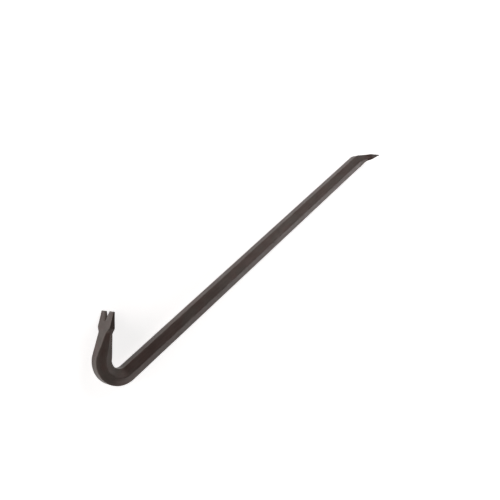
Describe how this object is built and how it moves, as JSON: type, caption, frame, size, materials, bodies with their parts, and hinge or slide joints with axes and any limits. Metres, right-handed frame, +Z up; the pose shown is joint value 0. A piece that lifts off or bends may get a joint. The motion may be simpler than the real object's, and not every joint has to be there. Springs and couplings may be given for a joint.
{
  "type": "pry bar",
  "caption": "One-piece forged wrecking bar of hexagonal steel: a hooked end with a notched nail-pulling claw, and a flat chisel end set off to the other side, for levering boards apart.",
  "frame": {"origin": "under the middle of the bar's box, on the surface that the bar lies on", "axes": "+X along the shaft from the hook to the chisel, +Y the side of the shaft that the hook opens over, +Z up, square to the plane of the bends"},
  "size_m": [0.48, 0.0718, 0.024],
  "materials": {
    "forged_steel": "dark brown-black lacquer over forged steel, satin, thinner along the edges"
  },
  "bodies": {
    "root": {"pry_bar": "forged_steel"}
  },
  "joints": []
}
